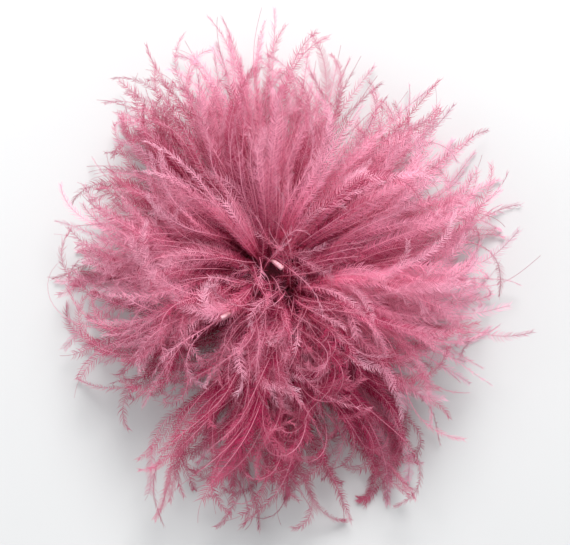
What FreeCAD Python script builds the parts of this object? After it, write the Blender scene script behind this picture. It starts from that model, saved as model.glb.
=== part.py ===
import FreeCAD, Part
import math
import os

# A round ostrich-feather puff, worn in the hair or on a dress.
# A short length of feather boa is wound into a flat coil and sewn on a felt base.
# A steel disc under the base carries an alligator clip and a brooch pin.
# Millimetres. +Z is out of the front of the puff, and z = 0 is the surface that it lies on.
# The middle of the coil is at x = y = 0. The clip and the pin run along X.

os.makedirs("parts", exist_ok=True)
V = FreeCAD.Vector
X_AXIS = V(1, 0, 0)
Y_AXIS = V(0, 1, 0)
Z_AXIS = V(0, 0, 1)
ORIGIN = V(0, 0, 0)

# Heights of the layers, from the steel disc up
DISC_BOTTOM = 12.2
DISC_T = 0.8
FELT_T = 1.5
DISC_TOP = DISC_BOTTOM + DISC_T
FELT_SPLIT = DISC_TOP + FELT_T
FELT_TOP = FELT_SPLIT + FELT_T

# Felt base and the blanket stitches round its edge
FELT_R = 30.0
EDGE_STITCHES = 36
EDGE_STITCH_REACH = 1.8
THREAD_R = 0.2

# Boa cord: two plies side by side, with the split quills pinched between them
COIL_START_R = 25.0
COIL_PITCH = 6.2
COIL_HALF_TURNS = 6
PLY_R = 0.9
PLY_OFFSET = 1.2
CORD_LIFT = 0.35
CORD_Z = FELT_TOP + CORD_LIFT + PLY_R
BINDING_R = 0.15
BINDING_GAP = 0.03
BINDING_FROM_QUILL = 1.4
QUILL_SPACING = 8.0
QUILL_T = 0.5
QUILL_W = 1.6
QUILL_TOP_W = 0.8
QUILL_BOTTOM = CORD_Z - 0.7
QUILL_TOP = 19.5
COIL_STITCH_R = 0.25
COIL_STITCH_EVERY = 3

# Plumes: tiers of flues that fan out from the coil to a domed outline
PLUME_R = 88.0
PLUME_MID_Z = 14.0
PLUME_TOP = 76.0
ROOT_R = 14.0
ROOT_Z = 19.8
PLUME_GAP = 0.3
TIER_START = 4.0
TIERS = [
    ("outer", 6, 0.0, 20.0),
    ("middle", 5, 20.0, 40.0),
    ("upper", 4, 40.0, 62.0),
    ("crown", 3, 62.0, 86.0),
]
SKIRT_PLUMES = 6
SKIRT_INNER_R = 31.5
SKIRT_INNER_Z = 10.0
SKIRT_FLAT_R = (42.0, 80.0)
TUFT_TOP_R = 17.2
TUFT_RIM_Z = 73.5

# Steel disc with sewing holes
DISC_R = 15.0
SEW_HOLE_R = 1.0
SEW_CIRCLE_R = 12.5
SEW_ANGLES = (0, 75, 105, 180, 255, 285)
SEW_THREAD_R = 0.3

# Alligator clip, along y = CLIP_Y
CLIP_Y = -6.0
PLATE_T = 0.6
PLATE_BOTTOM = DISC_BOTTOM - PLATE_T
PLATE_X = (-23.0, 17.0)
PLATE_HALF_W = 4.0
SHEET_T = 0.5
EAR_OUT = 3.7
EAR_X = (1.0, 7.0)
EAR_DROP = 4.6
PIVOT_X = 4.0
PIVOT_Z = 8.6
PIVOT_R = 0.8
PIVOT_HALF_LENGTH = 4.3
PIVOT_PLAY = 0.08
LEVER_HALF_W = 2.8
LEVER_TOP = 10.6
JAW_TIP_X = -21.0
BEND_X = 5.5
TAB_LENGTH = 18.0
TAB_SLOPE = 25.0
CHEEK_REACH = 3.4
CHEEK_DROP = 1.4
CHEEK_TAPER = 1.0
WINDOW_X = (0.6, 9.5)
WINDOW_HALF_W = 1.8
TOOTH_H = 0.7
TOOTH_PITCH = 1.4
TEETH = 4
SPRING_R = 1.45
SPRING_WIRE_R = 0.28
SPRING_COILS = 5
SPRING_LEG = 5.5
SPRING_LEG_GAP = 0.15
SPRING_COIL_GAP = 0.06

# Brooch pin, along y = PIN_Y
PIN_Y = 8.5
BAR_X = (-13.0, 13.5)
BAR_HALF_W = 2.0
STEM_Z = 9.8
STEM_R = 0.4
STEM_TIP_X = -14.0
STEM_TAPER = 4.0
HINGE_X = 11.0
HINGE_EAR_HALF = 1.5
HINGE_EAR_T = 0.4
HINGE_EAR_IN = 1.1
KNUCKLE_R = 1.1
KNUCKLE_HALF_W = 0.8
RIVET_R = 0.5
RIVET_HEAD_R = 0.9
RIVET_HEAD_T = 0.35
RIVET_PLAY = 0.06
CATCH_X = (-11.5, -8.5)
CATCH_OUTER_R = PLATE_BOTTOM - STEM_Z
CATCH_INNER_R = 1.38
CATCH_MOUTH = 1.3
ROLLER_R = 1.3
ROLLER_END_X = -12.3
ROLLER_SLOT = 1.0
ROLLER_TAB_T = 0.6
ROLLER_TAB_W = 1.0
ROLLER_TAB_REACH = 3.2


def save(name, *solids):
    """Write one sub-part. Several solids make one group."""
    shape = solids[0] if len(solids) == 1 else Part.makeCompound(list(solids))
    if not shape.isValid():
        raise RuntimeError(name + " isn't a valid shape")
    shape.exportStep("parts/" + name + ".step")


def block(x, y, z):
    """A box from three (low, high) pairs."""
    return Part.makeBox(x[1] - x[0], y[1] - y[0], z[1] - z[0], V(x[0], y[0], z[0]))


def centred(middle, half):
    """The (low, high) pair about a middle."""
    return (middle - half, middle + half)


def prism_xz(points, y):
    """A polygon in the XZ plane, extruded from y[0] to y[1]."""
    corners = [V(px, y[0], pz) for px, pz in points]
    outline = Part.makePolygon(corners + corners[:1])
    return Part.Face(outline).extrude(V(0, y[1] - y[0], 0))


def thread(points, radius):
    """A round thread through the points, with ball corners."""
    solid = None
    for low, high in zip(points, points[1:]):
        run = high - low
        piece = Part.makeCylinder(radius, run.Length, low, run)
        solid = piece if solid is None else solid.fuse(piece)
    for corner in points[1:-1]:
        solid = solid.fuse(Part.makeSphere(radius, corner))
    return solid


def turned(shape, degrees):
    """A copy of the shape, turned about the puff's axis."""
    copy = shape.copy()
    copy.rotate(ORIGIN, Z_AXIS, degrees)
    return copy


# ---------------------------------------------------------------- felt base

def felt_disc(bottom):
    return Part.makeCylinder(FELT_R, FELT_T, V(0, 0, bottom))


def edge_stitches():
    inner = FELT_R - EDGE_STITCH_REACH
    outer = FELT_R + THREAD_R
    over = FELT_TOP + THREAD_R
    under = DISC_TOP - THREAD_R
    path = [V(inner, 0, over), V(outer, 0, over), V(outer, 0, under), V(inner, 0, under)]
    stitch = thread(path, THREAD_R)
    return [turned(stitch, 360.0 * n / EDGE_STITCHES) for n in range(EDGE_STITCHES)]


# ---------------------------------------------------------------- boa cord

def half_turns():
    """The coil as half circles. Each gives its centre x, its radius and its side of the X axis."""
    centre = 0.0
    side = 1
    turns = []
    for n in range(COIL_HALF_TURNS):
        radius = COIL_START_R - n * COIL_PITCH / 2
        turns.append((centre, radius, side))
        centre -= side * COIL_PITCH / 2
        side = -side
    return turns


def ply(offset):
    """One ply of the cord, swept along the coil."""
    arcs = []
    for centre, radius, side in half_turns():
        r = radius + offset
        start = V(centre + side * r, 0, CORD_Z)
        top = V(centre, side * r, CORD_Z)
        end = V(centre - side * r, 0, CORD_Z)
        arcs.append(Part.Arc(start, top, end).toShape())
    path = Part.Wire(arcs)
    first = path.Vertexes[0].Point
    section = Part.Wire([Part.makeCircle(PLY_R, first, Y_AXIS)])
    solid = path.makePipeShell([section], True, False)
    expected = math.pi * PLY_R ** 2 * path.Length
    print("ply length", round(path.Length, 1), "volume ratio", round(solid.Volume / expected, 4))
    return solid


def coil_length():
    return math.pi * sum(radius for centre, radius, side in half_turns())


def place_on_coil(shape, station):
    """Move a shape made at the origin, with +X across the cord and +Y along it, to its station."""
    rest = station
    for centre, radius, side in half_turns():
        arc = math.pi * radius
        if rest <= arc:
            break
        rest -= arc
    angle = math.degrees(rest / radius) + (0 if side > 0 else 180)
    copy = shape.copy()
    copy.translate(V(radius, 0, 0))
    copy.rotate(ORIGIN, Z_AXIS, angle)
    copy.translate(V(centre, 0, 0))
    return copy


def quill_stations():
    count = int(coil_length() / QUILL_SPACING)
    return [QUILL_SPACING * (n + 0.5) for n in range(count)]


def quill():
    """The split end of one quill, tapering upwards, pinched between the plies."""
    low = QUILL_W / 2
    high = QUILL_TOP_W / 2
    corners = [V(0, -low, QUILL_BOTTOM), V(0, low, QUILL_BOTTOM),
               V(0, high, QUILL_TOP), V(0, -high, QUILL_TOP)]
    strip = Part.Face(Part.makePolygon(corners + corners[:1])).extrude(V(QUILL_T, 0, 0))
    strip.translate(V(-QUILL_T / 2, 0, 0))
    return strip


def binding_loop():
    """One turn of the thread that binds the two plies and the quill."""
    r = PLY_R + BINDING_GAP + BINDING_R
    corners = []
    for side in (1, -1):
        low = V(side * PLY_OFFSET, 0, CORD_Z - side * r)
        mid = V(side * (PLY_OFFSET + r), 0, CORD_Z)
        high = V(side * PLY_OFFSET, 0, CORD_Z + side * r)
        corners.append((low, mid, high))
    right, left = corners
    edges = [
        Part.Arc(*right).toShape(),
        Part.LineSegment(right[2], left[0]).toShape(),
        Part.Arc(*left).toShape(),
        Part.LineSegment(left[2], right[0]).toShape(),
    ]
    section = Part.Wire([Part.makeCircle(BINDING_R, right[0], X_AXIS)])
    return Part.Wire(edges).makePipeShell([section], True, False)


def coil_stitch():
    """A stitch over the cord, into the felt on both sides."""
    across = COIL_PITCH / 2 - 0.35
    over = CORD_Z + PLY_R + BINDING_GAP + 2 * BINDING_R + COIL_STITCH_R
    foot = FELT_TOP - FELT_T / 2
    path = [V(-across, 0, foot), V(-across, 0, over), V(across, 0, over), V(across, 0, foot)]
    return thread(path, COIL_STITCH_R)


def save_cord():
    save("boa_cord_outer_ply", ply(PLY_OFFSET))
    save("boa_cord_inner_ply", ply(-PLY_OFFSET))
    stations = quill_stations()
    third = math.ceil(len(stations) / 3)
    for name, first in (("outer", 0), ("middle", third), ("inner", 2 * third)):
        group = [place_on_coil(quill(), s) for s in stations[first:first + third]]
        save("quills_" + name + "_turn", *group)
    loops = []
    for station in stations:
        for shift in (-BINDING_FROM_QUILL, BINDING_FROM_QUILL):
            loops.append(place_on_coil(binding_loop(), station + shift))
    save("binding_thread", *loops)
    spots = [s + QUILL_SPACING / 2 for s in stations[:-1:COIL_STITCH_EVERY]]
    save("coil_stitches", *[place_on_coil(coil_stitch(), s) for s in spots])


# ---------------------------------------------------------------- plumes

def on_ray(elevation, distance, lift):
    """A point (r, z) out from the plumes' root, lifted square to the ray."""
    e = math.radians(elevation)
    r = ROOT_R + distance * math.cos(e) - lift * math.sin(e)
    z = ROOT_Z + distance * math.sin(e) + lift * math.cos(e)
    return (r, z)


def tip(elevation, lift):
    """Where the ray meets the domed outline, an ellipse about (0, PLUME_MID_Z)."""
    height = PLUME_TOP - PLUME_MID_Z
    low, high = 0.0, 2 * PLUME_R
    while high - low > 0.001:
        middle = (low + high) / 2
        r, z = on_ray(elevation, middle, lift)
        inside = (r / PLUME_R) ** 2 + ((z - PLUME_MID_Z) / height) ** 2 < 1
        low, high = (middle, high) if inside else (low, middle)
    return on_ray(elevation, low, lift)


def rz(point):
    return V(point[0], 0, point[1])


def tier_face(low_elevation, high_elevation):
    """The outline of one tier in the XZ plane: two rays and the domed edge."""
    lift = PLUME_GAP / 2
    low_root = rz(on_ray(low_elevation, TIER_START, lift))
    high_root = rz(on_ray(high_elevation, TIER_START, -lift))
    low_tip = rz(tip(low_elevation, lift))
    mid_tip = rz(tip((low_elevation + high_elevation) / 2, 0))
    high_tip = rz(tip(high_elevation, -lift))
    edges = [
        Part.LineSegment(low_root, low_tip).toShape(),
        Part.Arc(low_tip, mid_tip, high_tip).toShape(),
        Part.LineSegment(high_tip, high_root).toShape(),
        Part.LineSegment(high_root, low_root).toShape(),
    ]
    return Part.Face(Part.Wire(edges))


def skirt_face():
    """The lowest tier, which rests on the surface under the puff."""
    top = ROOT_Z - PLUME_GAP
    inner_top = V(SKIRT_INNER_R, 0, top)
    low_inner = V(SKIRT_INNER_R, 0, SKIRT_INNER_Z)
    flat_in = V(SKIRT_FLAT_R[0], 0, 0)
    flat_out = V(SKIRT_FLAT_R[1], 0, 0)
    side = V(PLUME_R, 0, PLUME_MID_Z - 4)
    high_tip = rz(tip(0, -PLUME_GAP))
    high_tip.z = top
    edges = [
        Part.LineSegment(inner_top, low_inner).toShape(),
        Part.LineSegment(low_inner, flat_in).toShape(),
        Part.LineSegment(flat_in, flat_out).toShape(),
        Part.Arc(flat_out, side, high_tip).toShape(),
        Part.LineSegment(high_tip, inner_top).toShape(),
    ]
    return Part.Face(Part.Wire(edges))


def save_tier(name, face, count, inner_r):
    """Cut one tier into plumes, with a gap between neighbours."""
    gap = math.degrees(PLUME_GAP / inner_r)
    step = 360.0 / count
    plume = face.revolve(ORIGIN, Z_AXIS, step - gap)
    for n in range(count):
        save("plume_" + name + "_" + str(n + 1), turned(plume, n * step + gap / 2))


def centre_tuft():
    """The curled tuft in the middle."""
    corners = [(0, ROOT_Z), (ROOT_R - 0.6, ROOT_Z), (TUFT_TOP_R, TUFT_RIM_Z), (0, PLUME_TOP)]
    outline = Part.makePolygon([rz(c) for c in corners + corners[:1]])
    return Part.Face(outline).revolve(ORIGIN, Z_AXIS, 360)


def save_plumes():
    save_tier("skirt", skirt_face(), SKIRT_PLUMES, SKIRT_INNER_R)
    for name, count, low, high in TIERS:
        save_tier(name, tier_face(low, high), count, ROOT_R)
    save("plume_centre", centre_tuft())


# ---------------------------------------------------------------- steel disc

def finding_disc():
    disc = Part.makeCylinder(DISC_R, DISC_T, V(0, 0, DISC_BOTTOM))
    hole = Part.makeCylinder(SEW_HOLE_R, DISC_T, V(SEW_CIRCLE_R, 0, DISC_BOTTOM))
    for angle in SEW_ANGLES:
        disc = disc.cut(turned(hole, angle))
    return disc


def disc_stitches():
    """Thread up through each hole, over the disc's edge and into the felt."""
    inner = SEW_CIRCLE_R
    outer = DISC_R + SEW_THREAD_R + 0.1
    under = DISC_BOTTOM - SEW_THREAD_R
    into_felt = DISC_TOP + FELT_T / 2
    path = [V(inner, 0, into_felt), V(inner, 0, under), V(outer, 0, under), V(outer, 0, into_felt)]
    stitch = thread(path, SEW_THREAD_R)
    return [turned(stitch, angle) for angle in SEW_ANGLES]


# ---------------------------------------------------------------- alligator clip

def y_cylinder(x, z, radius, y):
    return Part.makeCylinder(radius, y[1] - y[0], V(x, y[0], z), Y_AXIS)


def mirror_pair(inner, thickness):
    """The two (low, high) pairs of sheets on either side of the clip's line."""
    outer = inner + thickness
    return [(CLIP_Y - outer, CLIP_Y - inner), (CLIP_Y + inner, CLIP_Y + outer)]


def clip_plate():
    """The fixed jaw: a flat plate with two ears that hold the pivot pin."""
    plate = block(PLATE_X, centred(CLIP_Y, PLATE_HALF_W), (PLATE_BOTTOM, DISC_BOTTOM))
    ear_bottom = PLATE_BOTTOM - EAR_DROP
    for side in mirror_pair(EAR_OUT - SHEET_T, SHEET_T):
        plate = plate.fuse(block(EAR_X, side, (ear_bottom, PLATE_BOTTOM)))
    hole = y_cylinder(PIVOT_X, PIVOT_Z, PIVOT_R, centred(CLIP_Y, PIVOT_HALF_LENGTH))
    return plate.cut(hole).removeSplitter()


def clip_pivot_pin():
    return y_cylinder(PIVOT_X, PIVOT_Z, PIVOT_R, centred(CLIP_Y, PIVOT_HALF_LENGTH))


def tab_point(distance, depth):
    """A point (x, z) along the sloping thumb tab, at a depth below its top face."""
    slope = math.radians(TAB_SLOPE)
    x = BEND_X + distance * math.cos(slope) - depth * math.sin(slope)
    z = LEVER_TOP - distance * math.sin(slope) - depth * math.cos(slope)
    return (x, z)


def clip_lever():
    """The moving jaw and thumb tab, bent from one sheet, with cheeks on the pivot pin."""
    bottom = LEVER_TOP - SHEET_T
    bend_in = BEND_X - SHEET_T * math.tan(math.radians(TAB_SLOPE / 2))
    outline = [(JAW_TIP_X, LEVER_TOP), (BEND_X, LEVER_TOP), tab_point(TAB_LENGTH, 0),
               tab_point(TAB_LENGTH, SHEET_T), (bend_in, bottom), (JAW_TIP_X, bottom)]
    width = centred(CLIP_Y, LEVER_HALF_W)
    lever = prism_xz(outline, width)
    window = block(WINDOW_X, centred(CLIP_Y, WINDOW_HALF_W), (0, PLATE_BOTTOM))
    lever = lever.cut(window)
    cheek = [(PIVOT_X - CHEEK_REACH, bottom), (bend_in, bottom), tab_point(CHEEK_REACH, SHEET_T),
             (PIVOT_X + CHEEK_REACH - CHEEK_TAPER, PIVOT_Z - CHEEK_DROP),
             (PIVOT_X - CHEEK_REACH + CHEEK_TAPER, PIVOT_Z - CHEEK_DROP)]
    for side in mirror_pair(LEVER_HALF_W - SHEET_T, SHEET_T):
        lever = lever.fuse(prism_xz(cheek, side))
        for n in range(TEETH):
            x = JAW_TIP_X + n * TOOTH_PITCH
            tooth = [(x, LEVER_TOP), (x + TOOTH_PITCH / 2, LEVER_TOP + TOOTH_H),
                     (x + TOOTH_PITCH, LEVER_TOP)]
            lever = lever.fuse(prism_xz(tooth, side))
    hole = y_cylinder(PIVOT_X, PIVOT_Z, PIVOT_R + PIVOT_PLAY, width)
    return lever.cut(hole).removeSplitter()


def clip_spring():
    """A torsion spring on the pivot pin. One leg is under the plate and one is on the tab."""
    pitch = 2 * SPRING_WIRE_R + SPRING_COIL_GAP
    first_y = CLIP_Y - pitch * (SPRING_COILS - 1) / 2
    rings = []
    for n in range(SPRING_COILS):
        centre = V(PIVOT_X, first_y + n * pitch, PIVOT_Z)
        rings.append(Part.makeTorus(SPRING_R, SPRING_WIRE_R, centre, Y_AXIS))
    last_y = first_y + (SPRING_COILS - 1) * pitch
    rest = SPRING_WIRE_R + SPRING_LEG_GAP
    high_start = V(PIVOT_X, first_y, PIVOT_Z + SPRING_R)
    high_end = V(PIVOT_X + SPRING_LEG, first_y, PLATE_BOTTOM - rest)
    slope = math.radians(TAB_SLOPE)
    run = SPRING_LEG * math.cos(slope)
    drop = SPRING_LEG * math.sin(slope)
    low_start = V(PIVOT_X + SPRING_R * math.sin(slope), last_y, PIVOT_Z + SPRING_R * math.cos(slope))
    low_end = V(low_start.x + run, last_y, low_start.z - drop)
    legs = [thread([high_start, high_end], SPRING_WIRE_R), thread([low_start, low_end], SPRING_WIRE_R)]
    spring = rings[0].fuse(legs[0])
    return [spring] + rings[1:-1] + [rings[-1].fuse(legs[1])]


# ---------------------------------------------------------------- brooch pin

def x_cylinder(radius, x):
    return Part.makeCylinder(radius, x[1] - x[0], V(x[0], PIN_Y, STEM_Z), X_AXIS)


def pin_bar():
    """The bar under the disc, with the two hinge ears."""
    bar = block(BAR_X, centred(PIN_Y, BAR_HALF_W), (PLATE_BOTTOM, DISC_BOTTOM))
    ear_x = centred(HINGE_X, HINGE_EAR_HALF)
    for side in (1, -1):
        ear_y = centred(PIN_Y + side * (HINGE_EAR_IN + HINGE_EAR_T / 2), HINGE_EAR_T / 2)
        bar = bar.fuse(block(ear_x, ear_y, (STEM_Z, PLATE_BOTTOM)))
        bar = bar.fuse(y_cylinder(HINGE_X, STEM_Z, HINGE_EAR_HALF, ear_y))
    hole = y_cylinder(HINGE_X, STEM_Z, RIVET_R, centred(PIN_Y, BAR_HALF_W))
    return bar.cut(hole).removeSplitter()


def pin_rivet():
    out = HINGE_EAR_IN + HINGE_EAR_T
    rivet = y_cylinder(HINGE_X, STEM_Z, RIVET_R, centred(PIN_Y, out))
    for low in (PIN_Y - out - RIVET_HEAD_T, PIN_Y + out):
        rivet = rivet.fuse(y_cylinder(HINGE_X, STEM_Z, RIVET_HEAD_R, (low, low + RIVET_HEAD_T)))
    return rivet.removeSplitter()


def pin_stem():
    """The pointed stem with its knuckle on the rivet."""
    knuckle = y_cylinder(HINGE_X, STEM_Z, KNUCKLE_R, centred(PIN_Y, KNUCKLE_HALF_W))
    taper_x = STEM_TIP_X + STEM_TAPER
    stem = x_cylinder(STEM_R, (taper_x, HINGE_X))
    point = Part.makeCone(STEM_R, STEM_R / 6, STEM_TAPER, V(taper_x, PIN_Y, STEM_Z), -X_AXIS)
    hole = y_cylinder(HINGE_X, STEM_Z, RIVET_R + RIVET_PLAY, centred(PIN_Y, KNUCKLE_HALF_W))
    return knuckle.fuse(stem).fuse(point).cut(hole).removeSplitter()


def catch_housing():
    """The C-shaped holder that the roller turns in, open downwards."""
    housing = x_cylinder(CATCH_OUTER_R, CATCH_X).cut(x_cylinder(CATCH_INNER_R, CATCH_X))
    mouth = block(CATCH_X, centred(PIN_Y, CATCH_MOUTH / 2), (STEM_Z - CATCH_OUTER_R, STEM_Z))
    foot = block(CATCH_X, centred(PIN_Y, CATCH_OUTER_R * 0.7), (STEM_Z + CATCH_INNER_R, PLATE_BOTTOM))
    return housing.fuse(foot).cut(mouth).removeSplitter()


def catch_roller():
    """The locking roller: slotted for the stem, with a small finger tab at its end."""
    roller = x_cylinder(ROLLER_R, (ROLLER_END_X, CATCH_X[1]))
    tab_x = (ROLLER_END_X, ROLLER_END_X + ROLLER_TAB_T)
    tab_y = (PIN_Y - ROLLER_TAB_REACH, PIN_Y)
    tab = block(tab_x, tab_y, centred(STEM_Z, ROLLER_TAB_W / 2))
    slot_x = (ROLLER_END_X, CATCH_X[1])
    slot = block(slot_x, centred(PIN_Y, ROLLER_SLOT / 2), (STEM_Z - ROLLER_R, STEM_Z))
    slot_end = x_cylinder(ROLLER_SLOT / 2, slot_x)
    return roller.fuse(tab).cut(slot).cut(slot_end).removeSplitter()


def save_finding():
    save("finding_disc", finding_disc())
    save("disc_stitches", *disc_stitches())
    save("clip_plate", clip_plate())
    save("clip_pivot_pin", clip_pivot_pin())
    save("clip_lever", clip_lever())
    save("clip_spring", *clip_spring())
    save("pin_bar", pin_bar())
    save("pin_rivet", pin_rivet())
    save("pin_stem", pin_stem())
    save("catch_housing", catch_housing())
    save("catch_roller", catch_roller())


save("felt_backing", felt_disc(DISC_TOP))
save("felt_base", felt_disc(FELT_SPLIT))
save("edge_stitches", *edge_stitches())
save_cord()
save_plumes()
save_finding()
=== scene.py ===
import math

import bpy
import numpy as np
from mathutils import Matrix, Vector

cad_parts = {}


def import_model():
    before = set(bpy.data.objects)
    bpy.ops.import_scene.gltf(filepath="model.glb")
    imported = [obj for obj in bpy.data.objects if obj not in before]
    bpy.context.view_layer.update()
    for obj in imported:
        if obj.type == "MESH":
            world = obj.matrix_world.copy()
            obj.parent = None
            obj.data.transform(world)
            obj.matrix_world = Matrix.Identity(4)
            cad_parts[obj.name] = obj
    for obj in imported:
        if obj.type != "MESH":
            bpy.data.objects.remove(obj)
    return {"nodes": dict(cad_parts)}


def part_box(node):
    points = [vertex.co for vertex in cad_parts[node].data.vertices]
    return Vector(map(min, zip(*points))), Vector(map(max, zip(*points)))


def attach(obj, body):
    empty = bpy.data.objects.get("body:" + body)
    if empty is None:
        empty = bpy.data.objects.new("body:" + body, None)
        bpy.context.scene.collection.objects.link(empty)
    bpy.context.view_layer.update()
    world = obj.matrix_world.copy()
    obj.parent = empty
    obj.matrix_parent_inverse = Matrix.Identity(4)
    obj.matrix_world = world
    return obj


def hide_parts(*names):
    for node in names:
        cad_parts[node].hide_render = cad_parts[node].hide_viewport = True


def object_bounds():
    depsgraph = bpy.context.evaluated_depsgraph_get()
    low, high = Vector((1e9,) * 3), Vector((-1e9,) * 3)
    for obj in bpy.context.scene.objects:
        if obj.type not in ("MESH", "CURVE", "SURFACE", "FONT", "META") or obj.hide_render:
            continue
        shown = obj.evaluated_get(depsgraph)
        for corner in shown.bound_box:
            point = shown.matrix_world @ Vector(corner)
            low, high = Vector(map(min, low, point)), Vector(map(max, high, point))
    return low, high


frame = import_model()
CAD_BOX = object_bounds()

# A round ostrich-feather puff. Metres, in the CAD frame: +Z is out of the front of the puff.
MM = 0.001
TAU = 2 * math.pi

# Places taken from the CAD frame
CENTRE = (CAD_BOX[0] + CAD_BOX[1]) / 2
ROOT_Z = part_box("quills_outer_turn")[1].z
FELT_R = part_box("felt_base")[1].x
FELT_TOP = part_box("felt_base")[1].z

# How close the flues come to the felt and to the floor
FELT_CLEAR = 1.2 * MM
FELT_EDGE_CLEAR = 1 * MM
PATH_FLOOR_CLEAR = 1.5 * MM
FLOOR_CLEAR = 0.4 * MM
DROOP_SLOPE = 0.55
SETTLE_SOFTNESS = 2 * MM

# Flues and their barbules
PATH_POINTS = 34
SHAFT_R = 0.25 * MM
SHAFT_TIP = 0.3
SHAFT_SIDES = 3
BARBULE_SPACING = 0.82 * MM
BARBULE_LENGTH = 3.6 * MM
BARBULE_W = 0.28 * MM
BARBULE_POINTS = 5
BARBULE_FROM = 0.04
FLUES_PER_LOCK = 9
FLUE_LIMIT_R = 99.5 * MM

# A barbule leans out from its flue by this angle, in radians, less in its outer half and at the flue's tip
BARBULE_LEAN = 0.92
BARBULE_BEND = 0.35
TIP_LEAN = 0.35
TIP_SHORTENING = 0.35
TIP_FROM = 0.85

# The share of a flue that is bare at its tip, and how often
BARE_TIPS = [0.0, 0.10, 0.30]
BARE_ODDS = [0.82, 0.10, 0.08]

# Where the upper flues part and the dark inside shows, towards +X -Y: middle in degrees, width in radians
PARTING = -47
PARTING_WIDTH = 0.42

# How the flues' length changes round the puff, for its uneven outline.
# Each row: middle angle in degrees, width in radians, and the change of length
OUTLINE = [(165, 0.5, -0.15), (212, 0.4, 0.10), (270, 0.24, 0.12), (312, 0.4, -0.13)]

# Painted shade darkens the flues at the front, away from the key light, and painted light makes them paler
# towards +X, where more light falls: middle angle in degrees, width in radians, and how much
PAINTED_SHADE_FRONT = (268, 0.60, 0.95)
PAINTED_LIGHT_SIDE = (0, 0.55, 0.60)
LIGHT_THROUGH = 0.40

# Each tier: name, plumes, locks in a plume, root radius, rise at the root, length, bend by weight,
# how much shorter its flues are at the front of the puff, and how pale they are. The paleness is painted
# light and shade:
# mostly paler on the tiers that lie on top in the light, and darker on those that lie under them in shade
TIERS = [
    ("skirt", 6, 6, (15, 24), (-4, 14), 73, (32, 58), -0.18, 0.34),
    ("outer", 6, 5, (11, 20), (16, 36), 77, (30, 55), 0.00, 0.24),
    ("middle", 5, 6, (8, 16), (32, 52), 81, (45, 70), 0.20, 0.45),
    ("upper", 4, 6, (5, 12), (48, 64), 76, (60, 85), 0.30, 0.68),
    ("crown", 3, 6, (4, 10), (56, 72), 56, (70, 100), 0.25, 0.82),
]

# Short curls in the middle, and the cut ends of quills: where each stands, which way it leans, its length
CENTRE_CURLS = 170
CUT_QUILLS = [(-1.5, 5.5, 335, 27), (-15, -13, 215, 27)]
CUT_QUILL_W = 1.9 * MM
CUT_QUILL_T = 0.8 * MM


# ---------------------------------------------------------------- mesh helpers

def new_mesh(name, points, quads, triangles):
    """A mesh object from arrays of points and corner numbers."""
    mesh = bpy.data.meshes.new(name)
    corners = np.concatenate([quads.ravel(), triangles.ravel()]).astype(np.int32)
    counts = np.concatenate([np.full(len(quads), 4), np.full(len(triangles), 3)])
    starts = np.concatenate([[0], np.cumsum(counts)[:-1]]).astype(np.int32)
    mesh.vertices.add(len(points))
    mesh.vertices.foreach_set("co", points.astype(np.float32).ravel())
    mesh.loops.add(len(corners))
    mesh.loops.foreach_set("vertex_index", corners)
    mesh.polygons.add(len(counts))
    mesh.polygons.foreach_set("loop_start", starts)
    mesh.update(calc_edges=True)
    mesh.validate()
    mesh.polygons.foreach_set("use_smooth", np.ones(len(mesh.polygons), bool))
    piece = bpy.data.objects.new(name, mesh)
    bpy.context.scene.collection.objects.link(piece)
    return piece


def set_attribute(piece, name, values):
    attribute = piece.data.attributes.new(name, "FLOAT", "POINT")
    attribute.data.foreach_set("value", values.astype(np.float32))


def unit(vectors):
    return vectors / np.maximum(np.linalg.norm(vectors, axis=-1, keepdims=True), 1e-12)


# ---------------------------------------------------------------- flues

def front(azimuth):
    """1 at the front of the puff (-Y), where the flues are tangled, and 0 at its calm back."""
    return (0.5 - 0.5 * math.sin(azimuth)) ** 1.4


def root_centre(azimuth):
    """The middle that the flues at this angle grow round: it moves along a short slanting line."""
    share = 0.5 + 0.5 * math.cos(azimuth + math.radians(60))
    return CENTRE.x + (-4 + 10 * share) * MM, CENTRE.y + (3 - 10 * share) * MM


def swell(azimuth, middle, width):
    """1 at the middle angle, in degrees, and smoothly 0 away from it. The width is in radians."""
    away = math.remainder(azimuth - math.radians(middle), TAU)
    return math.exp(-(away / width) ** 2)


def reach(azimuth, shorter):
    """How much of its full length a flue has at this angle. Upper tiers are shorter in front."""
    ring = 0.985 + 0.04 * math.cos(azimuth + 0.1)
    for middle, width, change in OUTLINE:
        ring += change * swell(azimuth, middle, width)
    return ring * (1 - shorter * front(azimuth))


def flue_path(rng, root, azimuth, rise, length, bend, sweep, curl, wave):
    """Points along one flue. It rises, bends over by its weight, sweeps sideways, waves and curls."""
    t = np.linspace(0, 1, PATH_POINTS)
    size, cycles, phase = wave
    ripple = size * t * np.sin(TAU * (cycles * t + phase))
    ripple += rng.normal(0, 0.07) * np.sin(TAU * (rng.uniform(0.8, 2.4) * t + rng.uniform()))
    tip = np.clip((t - 0.5) / 0.5, 0, 1) ** 2
    heading = azimuth + sweep * (t - 0.3) + curl * tip + ripple
    climb = rise - bend * t ** 1.15 + rng.normal(0, 0.25) * tip + ripple
    step = length / (PATH_POINTS - 1)
    direction = np.stack([np.cos(climb) * np.cos(heading), np.cos(climb) * np.sin(heading), np.sin(climb)], 1)
    path = root + np.concatenate([np.zeros((1, 3)), np.cumsum(direction[1:] * step, axis=0)])
    furthest = np.hypot(path[:, 0], path[:, 1]).max()
    path[:, :2] *= min(1, FLUE_LIMIT_R / furthest)
    return settle(path)


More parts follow.
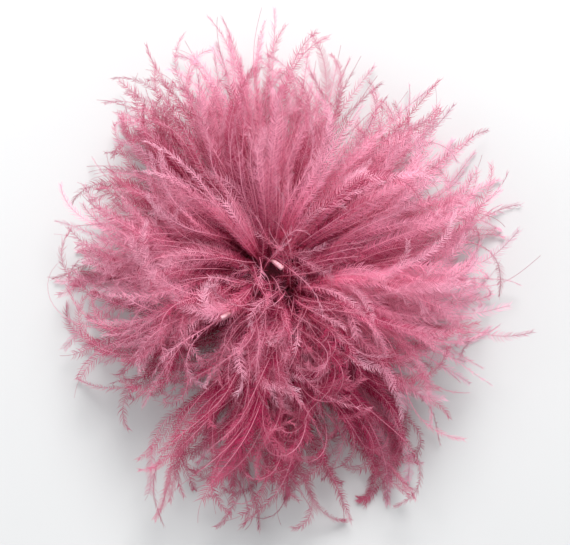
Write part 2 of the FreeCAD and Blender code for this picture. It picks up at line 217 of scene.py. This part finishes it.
def settle(path):
    """Lift what would sink below the felt or the floor, smoothly."""
    out = np.hypot(path[:, 0], path[:, 1])
    over_felt = FELT_TOP + FELT_CLEAR
    slope_from = FELT_R + FELT_EDGE_CLEAR
    slope = np.maximum(PATH_FLOOR_CLEAR, over_felt - DROOP_SLOPE * (out - slope_from))
    lowest = np.where(out < slope_from, over_felt, slope)
    above = path[:, 2] - lowest
    path[:, 2] = lowest + SETTLE_SOFTNESS * np.logaddexp(0, above / SETTLE_SOFTNESS)
    return path


def shaft_tube(path, radius):
    """A thin tapering tube along the path: points, and quads."""
    tangent = unit(np.gradient(path, axis=0))
    side = unit(np.cross(tangent, [0.0, 0.0, 1.0]) + 1e-6)
    up = np.cross(side, tangent)
    taper = np.linspace(1, SHAFT_TIP, len(path))[:, None] * radius
    rings = []
    for n in range(SHAFT_SIDES):
        angle = TAU * n / SHAFT_SIDES
        rings.append(path + taper * (math.cos(angle) * side + math.sin(angle) * up))
    points = np.stack(rings, 1).reshape(-1, 3)
    ring = np.arange(SHAFT_SIDES)
    first = (np.arange(len(path) - 1) * SHAFT_SIDES)[:, None]
    here = first + ring
    beside = first + (ring + 1) % SHAFT_SIDES
    quads = np.stack([here, beside, beside + SHAFT_SIDES, here + SHAFT_SIDES], -1).reshape(-1, 4)
    return points, quads


def barbules(rng, path, length, start, stop, fluff, facing):
    """Fine hairs on both sides of a flue, each a bent ribbon: points, and their places along the flue."""
    count = max(4, int(2 * length * (stop - start) / BARBULE_SPACING))
    order = np.arange(count)
    t = start + (stop - start) * (order + rng.uniform(-0.4, 0.4, count) + 0.5) / count
    place = np.clip(t, 0, 1) * (len(path) - 1)
    low = np.minimum(place.astype(int), len(path) - 2)
    part = (place - low)[:, None]
    base = path[low] * (1 - part) + path[low + 1] * part
    tangent = unit(path[low + 1] - path[low])
    side = unit(np.cross(facing, tangent))
    up = np.cross(tangent, side)
    twist = rng.normal(0, 0.22, count) + math.pi * (order % 2) + rng.normal(0, 0.9) * t
    out = np.cos(twist)[:, None] * side + np.sin(twist)[:, None] * up
    size = BARBULE_LENGTH * fluff * rng.uniform(0.8, 1.12, count)
    at_tip = np.clip((t - TIP_FROM) / (1 - TIP_FROM), 0, 1)
    size *= np.clip((t - start) * 9, 0.35, 1) * (1 - TIP_SHORTENING * at_tip)
    lean = rng.normal(BARBULE_LEAN, 0.07, count) - TIP_LEAN * at_tip
    first = np.cos(lean)[:, None] * tangent + np.sin(lean)[:, None] * out
    lean = lean - rng.normal(BARBULE_BEND, 0.1, count)
    second = np.cos(lean)[:, None] * tangent + np.sin(lean)[:, None] * out
    second = unit(second + rng.normal(0, 0.08, (count, 3)) + np.array([0, 0, -0.08]))
    middle = base + first * (0.5 * size)[:, None]
    end = middle + second * (0.5 * size)[:, None]
    thick = 0.5 * BARBULE_W * rng.uniform(0.6, 1.2, count)
    wide = unit(np.cross(first, np.cross(tangent, out))) * thick[:, None]
    points = np.stack([base - wide, base + wide, middle - 0.7 * wide, middle + 0.7 * wide, end], 1)
    return points.reshape(-1, 3), np.repeat(t, BARBULE_POINTS)


class Tuft:
    """Gathers flues, then makes them one piece."""

    def __init__(self):
        self.points = []
        self.quads = []
        self.triangles = []
        self.along = []
        self.strand = []
        self.shaft = []
        self.count = 0

    def add(self, points, quads, triangles, along, strand, shaft):
        self.points.append(points)
        self.quads.append(quads + self.count)
        self.triangles.append(triangles + self.count)
        self.along.append(along)
        self.strand.append(np.clip(strand * np.ones(len(points)), 0, 1))
        self.shaft.append(np.full(len(points), shaft))
        self.count += len(points)

    def add_flue(self, rng, path, length, bare, fluff, strand):
        points, quads = shaft_tube(path, SHAFT_R * rng.uniform(0.8, 1.25))
        none = np.zeros((0, 3), int)
        along = np.repeat(np.linspace(0, 1, len(path)), SHAFT_SIDES)
        self.add(points, quads, none, along, strand, 1.0)
        facing = unit(np.array([rng.normal(0, 0.5), rng.normal(0, 0.5), 1.0]))
        points, along = barbules(rng, path, length, BARBULE_FROM, 1.0 - bare, fluff, facing)
        count = len(points) // BARBULE_POINTS
        first = (np.arange(count) * BARBULE_POINTS)[:, None]
        shades = np.repeat(strand + rng.normal(0, 0.16, count), BARBULE_POINTS)
        self.add(points, first + [0, 1, 3, 2], first + [2, 3, 4], along, shades, 0.0)

    def piece(self, name):
        points = np.concatenate(self.points)
        points[:, 2] = np.maximum(points[:, 2], FLOOR_CLEAR)
        tuft = new_mesh(name, points, np.concatenate(self.quads), np.concatenate(self.triangles))
        set_attribute(tuft, "along", np.concatenate(self.along))
        set_attribute(tuft, "strand", np.concatenate(self.strand))
        set_attribute(tuft, "shaft", np.concatenate(self.shaft))
        return tuft


def spread(rng, calm, wilder, loose):
    """A random angle: calm at the back of the puff, and wilder where the flues are loose."""
    return rng.normal(0, calm + wilder * loose)


def grow_lock(rng, tuft, high, pale, azimuth, root_r, rise, length, bend):
    """One split quill's flues share a root and part towards their tips. They are wilder at the front."""
    loose = front(azimuth)
    to_right = max(0.0, math.cos(azimuth)) ** 2
    dark_middle, dark_width, painted_shade = PAINTED_SHADE_FRONT
    pale_middle, pale_width, painted_light = PAINTED_LIGHT_SIDE
    aim = azimuth + spread(rng, 0.10, 0.32, loose)
    sweep = spread(rng, 0.24, 0.75, loose) - 0.50 * to_right
    curl = spread(rng, 0.60, 0.7, loose) + 0.5 * to_right
    wave = (spread(rng, 0.12, 0.55, loose), rng.uniform(0.7, 1.5), rng.uniform())
    # The tone starts from the tier's paleness, itself painted light and shade; painted shade then darkens the
    # flues at the front, away from the key light
    tone = pale + 0.04 - painted_shade * swell(azimuth, dark_middle, dark_width)
    # Painted light: flues towards +X, where more light falls, are made paler
    tone += painted_light * swell(azimuth, pale_middle, pale_width)
    tone += rng.normal(0, 0.28)
    centre_x, centre_y = root_centre(azimuth)
    flues = round(FLUES_PER_LOCK * (1 - 0.7 * high * swell(azimuth, PARTING, PARTING_WIDTH)))
    for _ in range(flues):
        place = azimuth + rng.normal(0, 0.15)
        r = root_r + rng.normal(0, 1.6) * MM
        root = np.array([centre_x + r * math.cos(place), centre_y + r * math.sin(place), ROOT_Z])
        own = aim + spread(rng, 0.11, 0.06, loose)
        own_length = length * rng.uniform(0.70, 1.1)
        own_rise = rise + spread(rng, 0.09, 0.06, loose)
        own_sweep = sweep + spread(rng, 0.20, 0.08, loose)
        own_curl = curl + spread(rng, 0.55, 0.15, loose)
        path = flue_path(rng, root, own, own_rise, own_length, bend, own_sweep, own_curl, wave)
        bare = rng.choice(BARE_TIPS, p=BARE_ODDS)
        strand = tone + rng.normal(0, 0.24)
        tuft.add_flue(rng, path, own_length, bare, rng.uniform(0.78, 1.22), strand)


def plume(seed, tier, number, sectors, locks, roots, rises, length, bends, shorter, pale):
    """One sector of a tier, as one piece."""
    rng = np.random.default_rng(seed)
    tuft = Tuft()
    for lock in range(locks):
        azimuth = TAU * (number + (lock + rng.uniform(0.15, 0.85)) / locks) / sectors
        own_length = length * MM * reach(azimuth, shorter) * rng.uniform(0.80, 1.10)
        root_r = rng.uniform(*roots) * MM
        rise = math.radians(rng.uniform(*rises))
        bend = math.radians(rng.uniform(*bends))
        high = tier in ("middle", "upper", "crown")
        # pale carries the tier's painted light and shade into its locks' tone
        grow_lock(rng, tuft, high, pale, azimuth, root_r, rise, own_length, bend)
    piece = tuft.piece("flues_" + tier + "_" + str(number + 1))
    piece.data.materials.append(FEATHER)
    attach(piece, "puff")
    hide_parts("plume_" + tier + "_" + str(number + 1))
    return piece


def centre_tuft():
    """Short curled flues round the hollow middle, some bare, over the parting most of all."""
    rng = np.random.default_rng(77)
    tuft = Tuft()
    for n in range(CENTRE_CURLS):
        azimuth = rng.uniform(0, TAU)
        bare = rng.choice([0.0, 0.3])
        if n % 3 == 0:
            azimuth = math.radians(PARTING) + rng.normal(0, 0.6)
            bare = rng.choice([0.0, 0.9])
        centre_x, centre_y = root_centre(azimuth)
        r = rng.uniform(0, 12) * MM
        root = np.array([centre_x + r * math.cos(azimuth), centre_y + r * math.sin(azimuth), ROOT_Z])
        length = rng.uniform(16, 44) * MM
        heading = azimuth + rng.normal(0, 1.2)
        rise = math.radians(rng.uniform(30, 85))
        bend = rng.uniform(0.3, 1.8)
        sweep = rng.normal(0, 0.9)
        curl = rng.normal(0, 1.2)
        wave = (rng.normal(0, 0.3), rng.uniform(0.7, 1.5), rng.uniform())
        path = flue_path(rng, root, heading, rise, length, bend, sweep, curl, wave)
        tone = rng.choice([0.1, 0.6, 1.0])
        tuft.add_flue(rng, path, length, bare, rng.uniform(0.55, 1.0), tone)
    piece = tuft.piece("flues_centre")
    piece.data.materials.append(FEATHER)
    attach(piece, "puff")
    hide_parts("plume_centre")
    return piece


def cut_quill(rng, root, heading, rise, length):
    """A flat strip of split quill, narrow at its root and broad at its cut end: points, and quads."""
    steps = 16
    t = np.linspace(0, 1, steps)[:, None]
    turn = heading + rng.normal(0, 0.3) * t
    climb = rise - rng.uniform(0.9, 1.3) * t ** 9
    flat = np.cos(climb)
    direction = np.concatenate([flat * np.cos(turn), flat * np.sin(turn), np.sin(climb)], 1)
    line = root + np.cumsum(direction * (length / steps), axis=0)
    side = unit(np.cross(direction, [0.0, 0.0, 1.0]))
    thick = np.cross(direction, side)
    half_w = 0.5 * CUT_QUILL_W * (0.45 + 0.55 * t)
    half_t = 0.5 * CUT_QUILL_T
    corners = [line + half_w * side, line + half_t * thick, line - half_w * side, line - half_t * thick]
    points = np.stack(corners, 1).reshape(-1, 3)
    first = (np.arange(steps - 1) * 4)[:, None]
    ring = np.arange(4)
    here = first + ring
    beside = first + (ring + 1) % 4
    sides = np.stack([here, beside, beside + 4, here + 4], -1).reshape(-1, 4)
    last = 4 * (steps - 1)
    ends = np.array([[3, 2, 1, 0], [last, last + 1, last + 2, last + 3]])
    return points, np.concatenate([sides, ends])


def cut_quills(material):
    """The few pale quill ends that show in the middle of the puff."""
    rng = np.random.default_rng(5)
    points = []
    quads = []
    count = 0
    for x, y, azimuth, length in CUT_QUILLS:
        root = np.array([x * MM, y * MM, ROOT_Z - 1 * MM])
        heading = math.radians(azimuth)
        strip, sides = cut_quill(rng, root, heading, math.radians(86), length * MM)
        points.append(strip)
        quads.append(sides + count)
        count += len(strip)
    piece = new_mesh("cut_quill_ends", np.concatenate(points), np.concatenate(quads), np.zeros((0, 3), int))
    piece.data.materials.append(material)
    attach(piece, "puff")
    return piece


# ---------------------------------------------------------------- materials

class Nodes:
    """Short words for building one node material."""

    def __init__(self, name):
        self.material = bpy.data.materials.new(name)
        self.material.use_nodes = True
        self.tree = self.material.node_tree
        self.shader = self.tree.nodes["Principled BSDF"]

    def add(self, kind, **inputs):
        node = self.tree.nodes.new("ShaderNode" + kind)
        for key, value in inputs.items():
            node.inputs[key.replace("_", " ")].default_value = value
        return node

    def link(self, source, target):
        self.tree.links.new(source, target)

    def attribute(self, name):
        node = self.add("Attribute")
        node.attribute_name = name
        return node.outputs["Fac"]

    def ramp(self, source, stops):
        node = self.add("ValToRGB")
        ramp = node.color_ramp
        while len(ramp.elements) < len(stops):
            ramp.elements.new(0.5)
        for element, (place, colour) in zip(ramp.elements, stops):
            element.position = place
            element.color = (*colour, 1)
        self.link(source, node.inputs["Fac"])
        return node.outputs["Color"]

    def noise(self, scale, detail=3.0):
        node = self.add("TexNoise", Scale=scale, Detail=detail)
        coordinates = self.add("TexCoord")
        self.link(coordinates.outputs["Object"], node.inputs["Vector"])
        return node.outputs["Fac"]

    def math(self, operation, first, second):
        node = self.add("Math")
        node.operation = operation
        for socket, value in zip(node.inputs, (first, second)):
            if isinstance(value, (int, float)):
                socket.default_value = value
            else:
                self.link(value, socket)
        return node.outputs[0]

    def mix(self, share, first, second):
        node = self.add("Mix")
        node.data_type = "RGBA"
        for socket, value in zip((node.inputs[0], node.inputs[6], node.inputs[7]), (share, first, second)):
            if isinstance(value, (int, float)):
                socket.default_value = value
            elif isinstance(value, tuple):
                socket.default_value = (*value, 1)
            else:
                self.link(value, socket)
        return node.outputs[2]

    def bump(self, height, strength, distance):
        node = self.add("Bump", Strength=strength, Distance=distance)
        self.link(height, node.inputs["Height"])
        self.link(node.outputs["Normal"], self.shader.inputs["Normal"])


def feather_material():
    """Dyed ostrich, with light coming through. It is crimson at the root and paler towards the tip: partly
    the dye, and partly painted shade, darker where the flues crowd in each other's shade near the root.
    """
    n = Nodes("ostrich_flue")
    along = n.attribute("along")
    strand = n.attribute("strand")
    # Both ramps darken towards the root: partly the dye, partly painted shade where the flues lie in each
    # other's shade
    deep = n.ramp(along, [
        (0.0, (0.24, 0.003, 0.028)),
        (0.3, (0.32, 0.007, 0.058)),
        (0.6, (0.43, 0.036, 0.108)),
        (1.0, (0.57, 0.160, 0.245)),
    ])
    pale = n.ramp(along, [
        (0.0, (0.58, 0.030, 0.115)),
        (0.25, (0.90, 0.190, 0.365)),
        (0.6, (0.96, 0.425, 0.590)),
        (1.0, (0.93, 0.540, 0.675)),
    ])
    # strand mixes the deep and pale ramps: random tone, plus the painted light and shade set by tier and
    # round the puff
    tone = n.mix(strand, deep, pale)
    # Painted highlight: the bare shaft is painted pale pink along its middle as if it caught the light, with
    # painted shade at its root and at its tip, which is seen against the light
    quill = n.ramp(along, [
        (0.0, (0.60, 0.06, 0.16)),
        (0.25, (0.98, 0.42, 0.57)),
        (0.7, (0.98, 0.50, 0.64)),
        (1.0, (0.45, 0.11, 0.19)),
    ])
    highlit_shaft = n.mix(0.35, quill, tone)
    colour = n.mix(n.attribute("shaft"), tone, highlit_shaft)
    n.link(colour, n.shader.inputs["Base Color"])
    n.shader.inputs["Roughness"].default_value = 0.62
    n.shader.inputs["Specular IOR Level"].default_value = 0.0
    glow = n.add("BsdfTranslucent")
    n.link(colour, glow.inputs["Color"])
    both = n.add("MixShader")
    both.inputs["Fac"].default_value = LIGHT_THROUGH
    n.link(n.shader.outputs["BSDF"], both.inputs[1])
    n.link(glow.outputs["BSDF"], both.inputs[2])
    n.link(both.outputs["Shader"], n.tree.nodes["Material Output"].inputs["Surface"])
    return n.material


def cloth_material(name, dark, light, scale, roughness, bump):
    n = Nodes(name)
    fibres = n.noise(scale, 6.0)
    n.link(n.ramp(fibres, [(0.3, dark), (0.7, light)]), n.shader.inputs["Base Color"])
    n.shader.inputs["Roughness"].default_value = roughness
    n.shader.inputs["Sheen Weight"].default_value = 0.08
    n.bump(fibres, 0.6, bump)
    return n.material


def metal_material(name, dark, light, low_roughness, high_roughness):
    n = Nodes(name)
    wear = n.noise(900.0, 4.0)
    fine = n.noise(3500.0, 2.0)
    n.link(n.ramp(wear, [(0.2, dark), (0.8, light)]), n.shader.inputs["Base Color"])
    n.shader.inputs["Metallic"].default_value = 1.0
    spread = n.math("MULTIPLY", wear, high_roughness - low_roughness)
    n.link(n.math("ADD", spread, low_roughness), n.shader.inputs["Roughness"])
    n.bump(fine, 0.08, 0.05 * MM)
    return n.material


def dress(nodes, material):
    """Give CAD nodes their material."""
    for name in nodes:
        mesh = frame["nodes"][name].data
        mesh.materials.clear()
        mesh.materials.append(material)


# ---------------------------------------------------------------- stage

def look_at(thing, target):
    thing.rotation_euler = (Vector(target) - thing.location).to_track_quat("-Z", "Y").to_euler()


def floor():
    n = Nodes("pale_floor")
    paint = n.ramp(n.noise(9.0, 2.0), [
        (0.3, (0.565, 0.570, 0.573)),
        (0.7, (0.580, 0.585, 0.588)),
    ])
    n.link(paint, n.shader.inputs["Base Color"])
    n.shader.inputs["Roughness"].default_value = 0.6
    half = 3.0
    corners = np.array([[-half, -half, 0], [half, -half, 0], [half, half, 0], [-half, half, 0]])
    plane = new_mesh("floor", corners, np.array([[0, 1, 2, 3]]), np.zeros((0, 3), int))
    plane.data.materials.append(n.material)


def area_light(name, place, target, size, power, colour):
    data = bpy.data.lights.new(name, "AREA")
    data.shape = "DISK"
    data.size = size
    data.energy = power
    data.color = colour
    light = bpy.data.objects.new(name, data)
    light.location = place
    bpy.context.scene.collection.objects.link(light)
    look_at(light, target)


def camera():
    """It looks straight down on the puff, with +Y up in the picture."""
    data = bpy.data.cameras.new("camera")
    eye = bpy.data.objects.new("camera", data)
    height = 0.60
    view_width = 0.2135
    look_z = 0.025
    middle_x = 3.75 * MM
    middle_y = 0.9 * MM
    data.sensor_width = 36
    data.lens = data.sensor_width * (height - look_z) / view_width
    data.clip_start = 0.01
    eye.location = (middle_x, middle_y, height)
    bpy.context.scene.collection.objects.link(eye)
    bpy.context.scene.camera = eye


def world():
    sky = bpy.data.worlds.new("soft_room")
    sky.use_nodes = True
    background = sky.node_tree.nodes["Background"]
    background.inputs["Color"].default_value = (0.96, 0.98, 1.0, 1)
    background.inputs["Strength"].default_value = 0.70
    bpy.context.scene.world = sky
    bpy.context.scene.view_settings.view_transform = "Standard"


# ---------------------------------------------------------------- build

FEATHER = feather_material()
for order, (tier_name, sectors, *habits) in enumerate(TIERS):
    for sector in range(sectors):
        plume(100 * order + sector, tier_name, sector, sectors, *habits)
centre_tuft()
QUILL = cloth_material("split_quill", (0.62, 0.24, 0.30), (0.80, 0.44, 0.50), 700.0, 0.42, 0.03 * MM)
cut_quills(QUILL)

FELT = cloth_material("wool_felt", (0.10, 0.012, 0.025), (0.25, 0.045, 0.080), 1400.0, 0.95, 0.25 * MM)
dress(["felt_base", "felt_backing"], FELT)
CORD = cloth_material("cotton_cord", (0.20, 0.035, 0.06), (0.36, 0.08, 0.13), 1500.0, 0.85, 0.1 * MM)
dress(["boa_cord_outer_ply", "boa_cord_inner_ply"], CORD)
dress(["quills_outer_turn", "quills_middle_turn", "quills_inner_turn"], QUILL)
THREAD = cloth_material("sewing_thread", (0.22, 0.03, 0.06), (0.34, 0.06, 0.11), 4000.0, 0.6, 0.04 * MM)
dress(["binding_thread", "coil_stitches", "edge_stitches", "disc_stitches"], THREAD)
SATIN = metal_material("satin_nickel", (0.52, 0.51, 0.49), (0.66, 0.65, 0.63), 0.26, 0.5)
dress(["finding_disc", "clip_plate", "clip_lever", "pin_bar"], SATIN)
BRIGHT = metal_material("bright_nickel", (0.62, 0.61, 0.59), (0.74, 0.73, 0.71), 0.12, 0.3)
dress(["catch_housing", "catch_roller", "pin_rivet", "clip_pivot_pin"], BRIGHT)
WIRE = metal_material("drawn_wire", (0.50, 0.50, 0.50), (0.62, 0.62, 0.62), 0.2, 0.4)
dress(["pin_stem", "clip_spring"], WIRE)

floor()
world()
camera()
area_light("key", (0.14, 1.0, 0.92), (0, 0, 0), 0.65, 25, (1.0, 0.99, 0.98))
area_light("fill", (-0.9, 0.1, 0.9), (0, 0, 0), 0.9, 2.8, (0.98, 0.99, 1.0))
